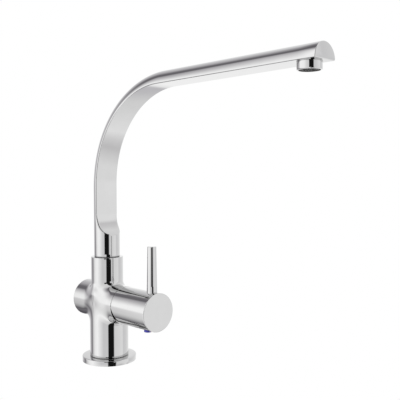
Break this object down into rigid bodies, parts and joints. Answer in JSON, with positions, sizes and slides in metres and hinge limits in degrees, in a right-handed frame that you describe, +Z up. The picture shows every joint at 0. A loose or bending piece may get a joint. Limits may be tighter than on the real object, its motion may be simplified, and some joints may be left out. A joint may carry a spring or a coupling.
{
  "type": "sink tap",
  "caption": "Single-lever sink tap: a round crossed body on a base flange, a level cartridge under a cap with a pin lever, and a tall D-section swivel spout.",
  "frame": {"origin": "centre of the column at the underside of the base flange, which stands on the deck", "axes": "+Z up, -Y to the front, which is where the spout and the lever cap point, and +X to the right of a user who stands in front and faces the tap"},
  "size_m": [0.0576, 0.314, 0.3669],
  "materials": {
    "chrome_plate": "polished chrome plate on brass",
    "brass": "turned brass, unplated",
    "steel": "zinc plated or stainless steel",
    "rubber": "moulded rubber",
    "moulded_plastic": "moulded acetal, off white",
    "ceramic": "lapped sintered alumina",
    "index_plastic": "glossy moulded plastic, dark blue"
  },
  "bodies": {
    "body": {"body_casting": "chrome_plate", "base_flange": "chrome_plate", "flange_seal": "rubber", "mounting_stud": "steel", "clamp_rubber": "rubber", "clamp_plate": "steel", "stud_nut": "steel", "cartridge_base": "moulded_plastic", "base_seals": "rubber", "fixed_disc": "ceramic", "cartridge_housing": "moulded_plastic", "cartridge_nut": "brass", "cover_ring": "chrome_plate", "retaining_screw": "steel"},
    "spout": {"spout_tube": "chrome_plate", "spout_spigot": "brass", "spigot_o_rings": "rubber", "bearing_ring": "moulded_plastic", "aerator_housing": "chrome_plate", "aerator_seal": "rubber", "aerator_insert": "moulded_plastic", "aerator_grid": "moulded_plastic"},
    "temperature_carrier": {"stem_carrier": "moulded_plastic", "stem_pin": "steel"},
    "disc": {"disc_carrier": "moulded_plastic", "moving_disc": "ceramic"},
    "handle": {"stem": "steel", "stem_adapter": "brass", "adapter_screw": "steel", "handle_cap": "chrome_plate", "lever_pin": "chrome_plate", "grub_screw": "steel", "index_plug": "index_plastic"}
  },
  "joints": [
    {"name": "spout_swivel", "type": "hinge", "parent": "body", "child": "spout", "pos_m": [0, 0.003, 0.1123], "axis": [0, 0, 1], "continuous": true},
    {"name": "handle_turn", "type": "hinge", "parent": "body", "child": "temperature_carrier", "pos_m": [0, -0.029, 0.0634], "axis": [0, -1, 0], "range_deg": [-50, 50]},
    {"name": "lever_tilt", "type": "hinge", "parent": "temperature_carrier", "child": "handle", "pos_m": [0, -0.029, 0.0634], "axis": [1, 0, 0], "range_deg": [0, 20]},
    {"name": "disc_slide", "type": "slide", "parent": "temperature_carrier", "child": "disc", "axis": [0, 0, 1], "range_m": [0, 0.0046]}
  ],
  "couplings": [
    {"joint": "disc_slide", "follows": "lever_tilt", "m_per_rad": 0.01287}
  ]
}
